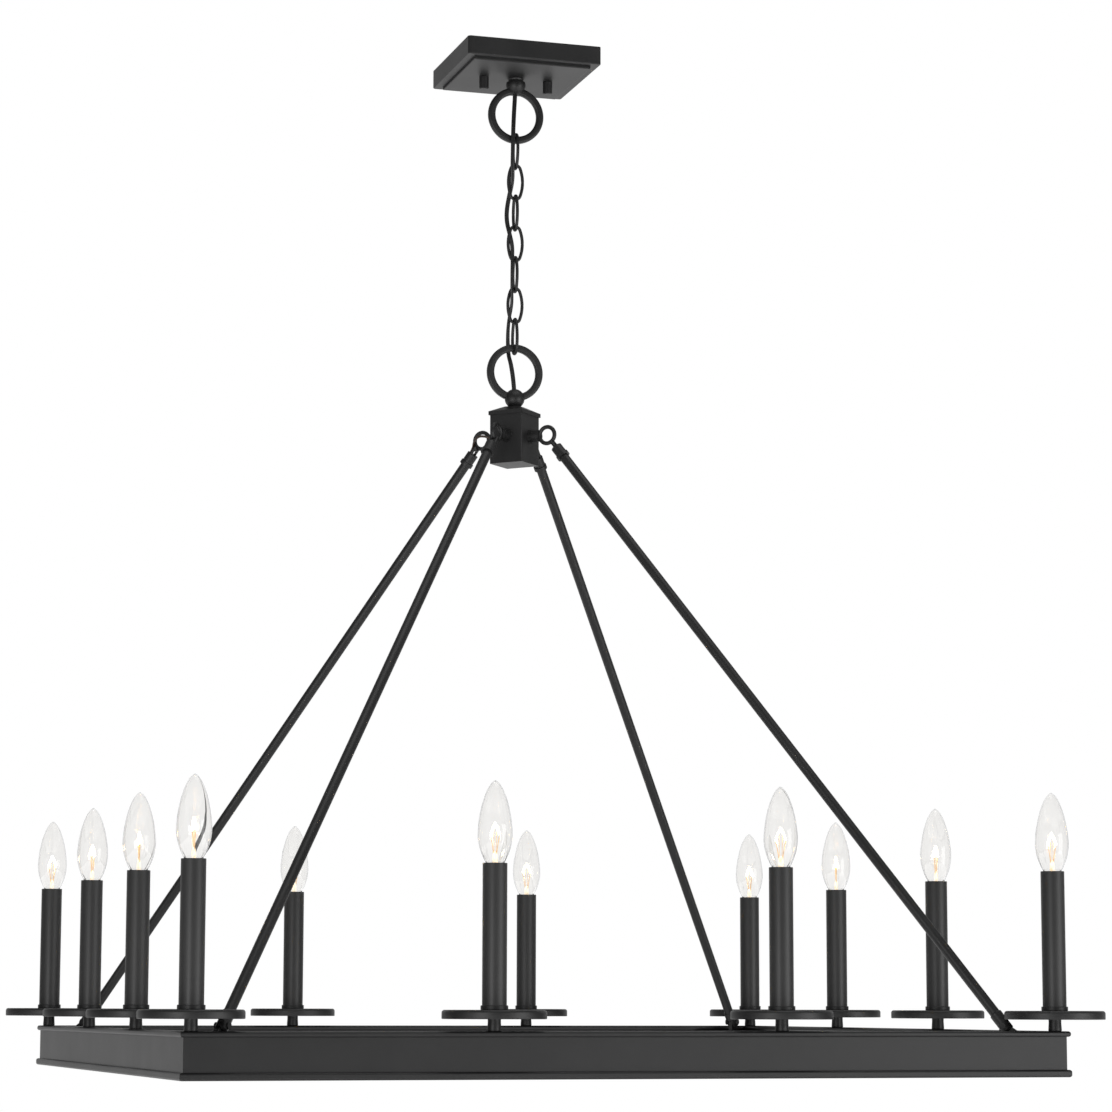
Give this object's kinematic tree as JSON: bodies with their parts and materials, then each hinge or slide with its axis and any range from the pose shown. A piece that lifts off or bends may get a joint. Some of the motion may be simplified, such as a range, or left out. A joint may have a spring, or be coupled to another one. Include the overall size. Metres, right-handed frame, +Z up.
{
  "type": "chandelier",
  "caption": "Square chandelier of moulded rails hung by rods from a hub on an oval link chain, with candle lamps on round drip plates and a square stepped ceiling canopy.",
  "frame": {"origin": "on the ceiling plane, at the middle of the two crossbar slots", "axes": "+Z up into the ceiling, +X to the right along the front rail, +Y to the back"},
  "size_m": [0.913, 0.913, 1.0571],
  "materials": {
    "black_metal": "matte black powder coat",
    "clear_glass": "clear",
    "black_plastic": "matte",
    "cord_jacket": "satin vinyl jacket",
    "bronze_lead": "bronze insulation"
  },
  "bodies": {
    "canopy": {"crossbar": "black_metal", "crossbar_studs": "black_metal", "ground_screw": "black_metal", "canopy_pan": "black_metal", "canopy_nipple": "black_metal", "canopy_locknut": "black_metal", "screw_collar": "black_metal", "upper_loop": "black_metal", "supply_cord": "cord_jacket"},
    "canopy_knob_left": {"canopy_knob_left": "black_metal"},
    "canopy_knob_right": {"canopy_knob_right": "black_metal"},
    "link_1": {"chain_link_1": "black_metal"},
    "link_2": {"chain_link_2": "black_metal"},
    "link_3": {"chain_link_3": "black_metal"},
    "link_4": {"chain_link_4": "black_metal"},
    "link_5": {"chain_link_5": "black_metal"},
    "link_6": {"chain_link_6": "black_metal"},
    "link_7": {"chain_link_7": "black_metal"},
    "pendant": {"back_rail": "black_metal", "candle_cups": "black_metal", "candle_nipples": "black_metal", "candle_sleeves": "black_metal", "candle_stems": "black_metal", "corner_brackets": "black_metal", "drip_plates": "black_metal", "eye_nuts": "black_metal", "foot_pins": "black_metal", "front_rail": "black_metal", "hub_base": "black_metal", "hub_body": "black_metal", "hub_cap": "black_metal", "hub_eyes": "black_metal", "hub_locknut": "black_metal", "hub_nipple": "black_metal", "lamp_sockets": "black_plastic", "left_rail": "black_metal", "lower_loop": "black_metal", "rail_covers": "black_metal", "right_rail": "black_metal", "rod_back_left": "black_metal", "rod_back_right": "black_metal", "rod_ferrules": "black_metal", "rod_forks": "black_metal", "rod_front_left": "black_metal", "rod_front_right": "black_metal", "rod_hooks": "black_metal", "rod_lead": "bronze_lead"},
    "bulb_01": {"bulb_01": "clear_glass"},
    "bulb_02": {"bulb_02": "clear_glass"},
    "bulb_03": {"bulb_03": "clear_glass"},
    "bulb_04": {"bulb_04": "clear_glass"},
    "bulb_05": {"bulb_05": "clear_glass"},
    "bulb_06": {"bulb_06": "clear_glass"},
    "bulb_07": {"bulb_07": "clear_glass"},
    "bulb_08": {"bulb_08": "clear_glass"},
    "bulb_09": {"bulb_09": "clear_glass"},
    "bulb_10": {"bulb_10": "clear_glass"},
    "bulb_11": {"bulb_11": "clear_glass"},
    "bulb_12": {"bulb_12": "clear_glass"}
  },
  "joints": [
    {"name": "canopy_knob_left_turn", "type": "hinge", "parent": "canopy", "child": "canopy_knob_left", "pos_m": [-0.03492, 0, -0.0283], "axis": [0, 0, -1], "range_deg": [0, 1440]},
    {"name": "canopy_knob_right_turn", "type": "hinge", "parent": "canopy", "child": "canopy_knob_right", "pos_m": [0.03492, 0, -0.0283], "axis": [0, 0, -1], "range_deg": [0, 1440]},
    {"name": "link_1_swing", "type": "hinge", "parent": "canopy", "child": "link_1", "pos_m": [0, 0, -0.08935], "axis": [1, 0, 0], "range_deg": [-10, 10], "deforming": ["supply_cord"]},
    {"name": "link_2_swing", "type": "hinge", "parent": "link_1", "child": "link_2", "pos_m": [0, 0, -0.1183], "axis": [0, 1, 0], "range_deg": [-10, 10], "deforming": ["supply_cord"]},
    {"name": "link_3_swing", "type": "hinge", "parent": "link_2", "child": "link_3", "pos_m": [0, 0, -0.1513], "axis": [1, 0, 0], "range_deg": [-10, 10], "deforming": ["supply_cord"]},
    {"name": "link_4_swing", "type": "hinge", "parent": "link_3", "child": "link_4", "pos_m": [0, 0, -0.1843], "axis": [0, 1, 0], "range_deg": [-10, 10], "deforming": ["supply_cord"]},
    {"name": "link_5_swing", "type": "hinge", "parent": "link_4", "child": "link_5", "pos_m": [0, 0, -0.2173], "axis": [1, 0, 0], "range_deg": [-10, 10], "deforming": ["supply_cord"]},
    {"name": "link_6_swing", "type": "hinge", "parent": "link_5", "child": "link_6", "pos_m": [0, 0, -0.2503], "axis": [0, 1, 0], "range_deg": [-10, 10], "deforming": ["supply_cord"]},
    {"name": "link_7_swing", "type": "hinge", "parent": "link_6", "child": "link_7", "pos_m": [0, 0, -0.2833], "axis": [1, 0, 0], "range_deg": [-10, 10], "deforming": ["supply_cord"]},
    {"name": "pendant_swing", "type": "hinge", "parent": "link_7", "child": "pendant", "pos_m": [0, 0, -0.3163], "axis": [0, 1, 0], "range_deg": [-10, 10], "deforming": ["supply_cord"]},
    {"name": "bulb_01_unscrew", "type": "hinge", "parent": "pendant", "child": "bulb_01", "pos_m": [-0.4095, -0.4095, -0.8647], "axis": [0, 0, 1], "range_deg": [0, 1080]},
    {"name": "bulb_02_unscrew", "type": "hinge", "parent": "pendant", "child": "bulb_02", "pos_m": [0.4095, -0.4095, -0.8647], "axis": [0, 0, 1], "range_deg": [0, 1080]},
    {"name": "bulb_03_unscrew", "type": "hinge", "parent": "pendant", "child": "bulb_03", "pos_m": [0.4095, 0.4095, -0.8647], "axis": [0, 0, 1], "range_deg": [0, 1080]},
    {"name": "bulb_04_unscrew", "type": "hinge", "parent": "pendant", "child": "bulb_04", "pos_m": [-0.4095, 0.4095, -0.8647], "axis": [0, 0, 1], "range_deg": [0, 1080]},
    {"name": "bulb_05_unscrew", "type": "hinge", "parent": "pendant", "child": "bulb_05", "pos_m": [-0.1365, -0.4095, -0.8647], "axis": [0, 0, 1], "range_deg": [0, 1080]},
    {"name": "bulb_06_unscrew", "type": "hinge", "parent": "pendant", "child": "bulb_06", "pos_m": [0.4095, -0.1365, -0.8647], "axis": [0, 0, 1], "range_deg": [0, 1080]},
    {"name": "bulb_07_unscrew", "type": "hinge", "parent": "pendant", "child": "bulb_07", "pos_m": [0.1365, 0.4095, -0.8647], "axis": [0, 0, 1], "range_deg": [0, 1080]},
    {"name": "bulb_08_unscrew", "type": "hinge", "parent": "pendant", "child": "bulb_08", "pos_m": [-0.4095, 0.1365, -0.8647], "axis": [0, 0, 1], "range_deg": [0, 1080]},
    {"name": "bulb_09_unscrew", "type": "hinge", "parent": "pendant", "child": "bulb_09", "pos_m": [0.1365, -0.4095, -0.8647], "axis": [0, 0, 1], "range_deg": [0, 1080]},
    {"name": "bulb_10_unscrew", "type": "hinge", "parent": "pendant", "child": "bulb_10", "pos_m": [0.4095, 0.1365, -0.8647], "axis": [0, 0, 1], "range_deg": [0, 1080]},
    {"name": "bulb_11_unscrew", "type": "hinge", "parent": "pendant", "child": "bulb_11", "pos_m": [-0.1365, 0.4095, -0.8647], "axis": [0, 0, 1], "range_deg": [0, 1080]},
    {"name": "bulb_12_unscrew", "type": "hinge", "parent": "pendant", "child": "bulb_12", "pos_m": [-0.4095, -0.1365, -0.8647], "axis": [0, 0, 1], "range_deg": [0, 1080]}
  ]
}
